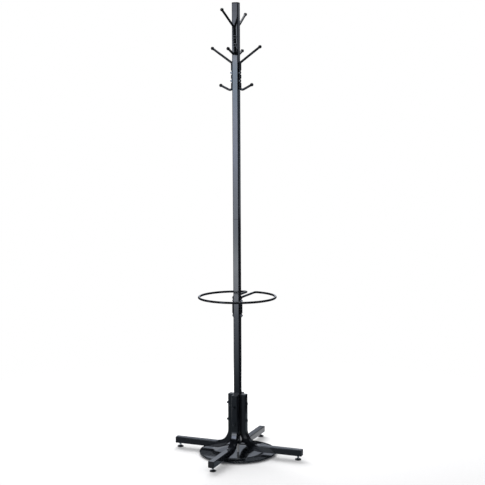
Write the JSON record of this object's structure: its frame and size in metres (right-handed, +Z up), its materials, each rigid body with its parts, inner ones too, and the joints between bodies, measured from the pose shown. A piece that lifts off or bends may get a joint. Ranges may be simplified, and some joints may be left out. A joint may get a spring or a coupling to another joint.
{
  "type": "standing coat rack",
  "caption": "Freestanding coat rack: slim square steel post on a cross of bent tube legs, with double-prong rod hooks, an umbrella ring and a round drip tray.",
  "frame": {"origin": "on the floor, under the post's axis, midway between the four feet", "axes": "+Z up along the post; the legs point along +X (right), +Y (back), -X (left) and -Y (front)"},
  "size_m": [0.543, 0.543, 1.784],
  "materials": {
    "gloss_black_paint": "gloss",
    "black_plastic": "satin",
    "black_ball": "satin gloss",
    "black_fastener": "satin black oxide",
    "plain_steel": "bright zinc plate"
  },
  "bodies": {
    "rack": {"back_hook": "gloss_black_paint", "back_hook_lower_ball": "black_ball", "back_hook_upper_ball": "black_ball", "back_leg": "gloss_black_paint", "back_leg_insert": "plain_steel", "back_leg_tip_plug": "black_plastic", "back_leg_top_plug": "black_plastic", "base_bolts_front_back": "black_fastener", "base_bolts_left_right": "black_fastener", "base_nuts_front_back": "black_fastener", "base_nuts_left_right": "black_fastener", "drip_tray": "gloss_black_paint", "front_hook": "gloss_black_paint", "front_hook_lower_ball": "black_ball", "front_hook_upper_ball": "black_ball", "front_leg": "gloss_black_paint", "front_leg_insert": "plain_steel", "front_leg_tip_plug": "black_plastic", "front_leg_top_plug": "black_plastic", "hook_bolts_front_back": "black_fastener", "hook_bolts_left_right": "black_fastener", "hook_nuts_front_back": "black_fastener", "hook_nuts_left_right": "black_fastener", "left_hook": "gloss_black_paint", "left_hook_lower_ball": "black_ball", "left_hook_upper_ball": "black_ball", "left_leg": "gloss_black_paint", "left_leg_insert": "plain_steel", "left_leg_tip_plug": "black_plastic", "left_leg_top_plug": "black_plastic", "lower_post": "gloss_black_paint", "post_foot_plug": "plain_steel", "post_joiner": "plain_steel", "post_top_cap": "black_plastic", "right_hook": "gloss_black_paint", "right_hook_lower_ball": "black_ball", "right_hook_upper_ball": "black_ball", "right_leg": "gloss_black_paint", "right_leg_insert": "plain_steel", "right_leg_tip_plug": "black_plastic", "right_leg_top_plug": "black_plastic", "ring_bolts": "black_fastener", "ring_nuts": "black_fastener", "tray_bolt": "plain_steel", "tray_spacer": "plain_steel", "umbrella_ring": "gloss_black_paint", "upper_post": "gloss_black_paint"},
    "right_pad": {"right_glide_pad": "black_plastic"},
    "right_screw": {"right_glide_stem": "plain_steel"},
    "back_pad": {"back_glide_pad": "black_plastic"},
    "back_screw": {"back_glide_stem": "plain_steel"},
    "left_pad": {"left_glide_pad": "black_plastic"},
    "left_screw": {"left_glide_stem": "plain_steel"},
    "front_pad": {"front_glide_pad": "black_plastic"},
    "front_screw": {"front_glide_stem": "plain_steel"}
  },
  "joints": [
    {"name": "right_glide_travel", "type": "slide", "parent": "rack", "child": "right_pad", "axis": [0, 0, -1], "range_m": [-0.008, 0.008]},
    {"name": "right_glide_turn", "type": "hinge", "parent": "right_pad", "child": "right_screw", "pos_m": [0.2555, 0, 0], "axis": [0, 0, -1], "range_deg": [-2310, 2310]},
    {"name": "back_glide_travel", "type": "slide", "parent": "rack", "child": "back_pad", "axis": [0, 0, -1], "range_m": [-0.008, 0.008]},
    {"name": "back_glide_turn", "type": "hinge", "parent": "back_pad", "child": "back_screw", "pos_m": [0, 0.2555, 0], "axis": [0, 0, -1], "range_deg": [-2310, 2310]},
    {"name": "left_glide_travel", "type": "slide", "parent": "rack", "child": "left_pad", "axis": [0, 0, -1], "range_m": [-0.008, 0.008]},
    {"name": "left_glide_turn", "type": "hinge", "parent": "left_pad", "child": "left_screw", "pos_m": [-0.2555, 0, 0], "axis": [0, 0, -1], "range_deg": [-2310, 2310]},
    {"name": "front_glide_travel", "type": "slide", "parent": "rack", "child": "front_pad", "axis": [0, 0, -1], "range_m": [-0.008, 0.008]},
    {"name": "front_glide_turn", "type": "hinge", "parent": "front_pad", "child": "front_screw", "pos_m": [0, -0.2555, 0], "axis": [0, 0, -1], "range_deg": [-2310, 2310]}
  ],
  "couplings": [
    {"joint": "right_glide_turn", "follows": "right_glide_travel", "rad_per_m": 5026.5},
    {"joint": "back_glide_turn", "follows": "back_glide_travel", "rad_per_m": 5026.5},
    {"joint": "left_glide_turn", "follows": "left_glide_travel", "rad_per_m": 5026.5},
    {"joint": "front_glide_turn", "follows": "front_glide_travel", "rad_per_m": 5026.5}
  ]
}
